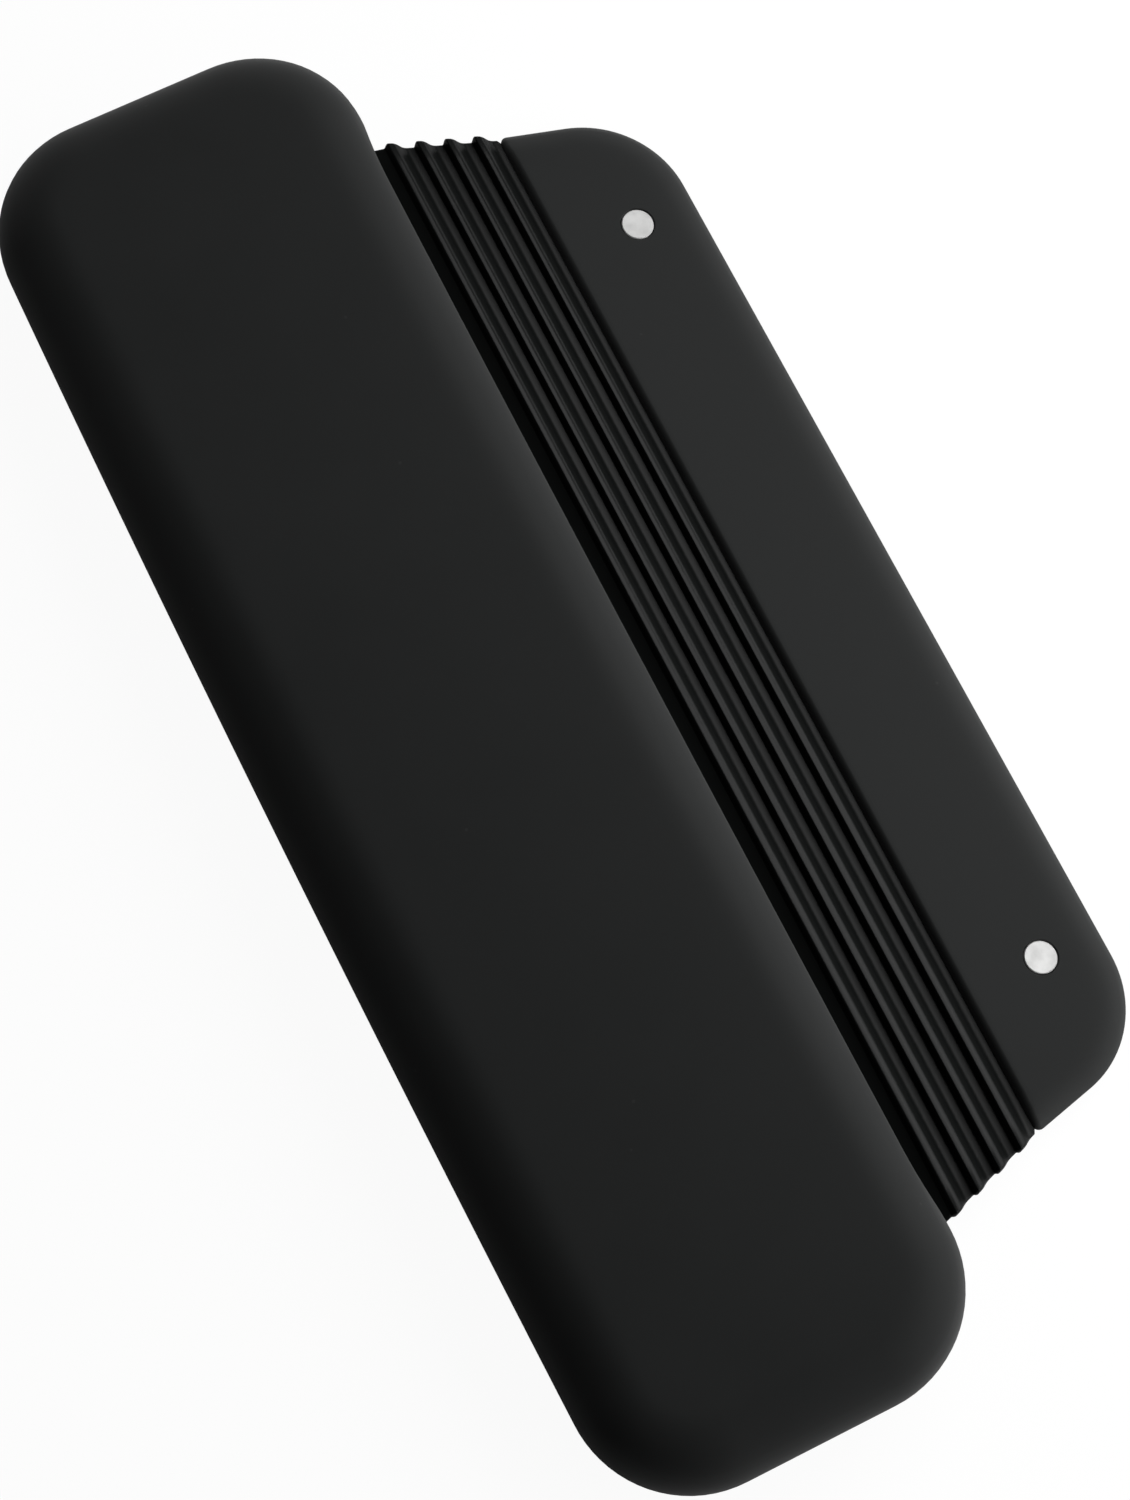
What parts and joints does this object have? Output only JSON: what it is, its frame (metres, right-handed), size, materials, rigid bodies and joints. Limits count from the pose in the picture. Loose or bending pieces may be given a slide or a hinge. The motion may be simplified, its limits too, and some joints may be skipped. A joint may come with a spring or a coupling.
{
  "type": "toothbrush travel case",
  "caption": "Soft pillow-shaped travel case for toothbrushes with its mouth along one long side and a ribbed fold-over flap that closes with magnets.",
  "frame": {"origin": "centre of the flat back face of the pocket", "axes": "+Z out of the front face, +X towards the open mouth and flap, +Y along the case"},
  "size_m": [0.1131, 0.25, 0.024],
  "materials": {
    "silicone": "matte",
    "magnet": "nickel plated"
  },
  "bodies": {
    "pocket": {"back_shell": "silicone", "front_shell": "silicone", "wall_magnet_top": "magnet", "wall_magnet_bottom": "magnet"},
    "rib_1": {"rib_1": "silicone"},
    "rib_2": {"rib_2": "silicone"},
    "rib_3": {"rib_3": "silicone"},
    "rib_4": {"rib_4": "silicone"},
    "flap": {"flap_panel": "silicone", "flap_magnet_top": "magnet", "flap_magnet_bottom": "magnet"}
  },
  "joints": [
    {"name": "root_fold", "type": "hinge", "parent": "pocket", "child": "rib_1", "pos_m": [0.033, 0, 0.0061], "axis": [0, -1, 0], "range_deg": [-20, 81.5], "stiffness_Nm_per_rad": 0.03},
    {"name": "rib_fold_1", "type": "hinge", "parent": "rib_1", "child": "rib_2", "pos_m": [0.03911, 0, 0.0054], "axis": [0, -1, 0], "range_deg": [-2.45, 10], "stiffness_Nm_per_rad": 0.03},
    {"name": "rib_fold_2", "type": "hinge", "parent": "rib_2", "child": "rib_3", "pos_m": [0.0439, 0, 0.00486], "axis": [0, -1, 0], "range_deg": [-2.45, 10], "stiffness_Nm_per_rad": 0.03},
    {"name": "rib_fold_3", "type": "hinge", "parent": "rib_3", "child": "rib_4", "pos_m": [0.04867, 0, 0.00431], "axis": [0, -1, 0], "range_deg": [-2.45, 10], "stiffness_Nm_per_rad": 0.03},
    {"name": "panel_fold", "type": "hinge", "parent": "rib_4", "child": "flap", "pos_m": [0.05345, 0, 0.00377], "axis": [0, -1, 0], "range_deg": [-18.4, 75], "stiffness_Nm_per_rad": 0.03}
  ],
  "couplings": [
    {"joint": "rib_fold_1", "follows": "root_fold", "ratio": 0.1227},
    {"joint": "rib_fold_2", "follows": "root_fold", "ratio": 0.1227},
    {"joint": "rib_fold_3", "follows": "root_fold", "ratio": 0.1227},
    {"joint": "panel_fold", "follows": "root_fold", "ratio": 0.92024}
  ]
}
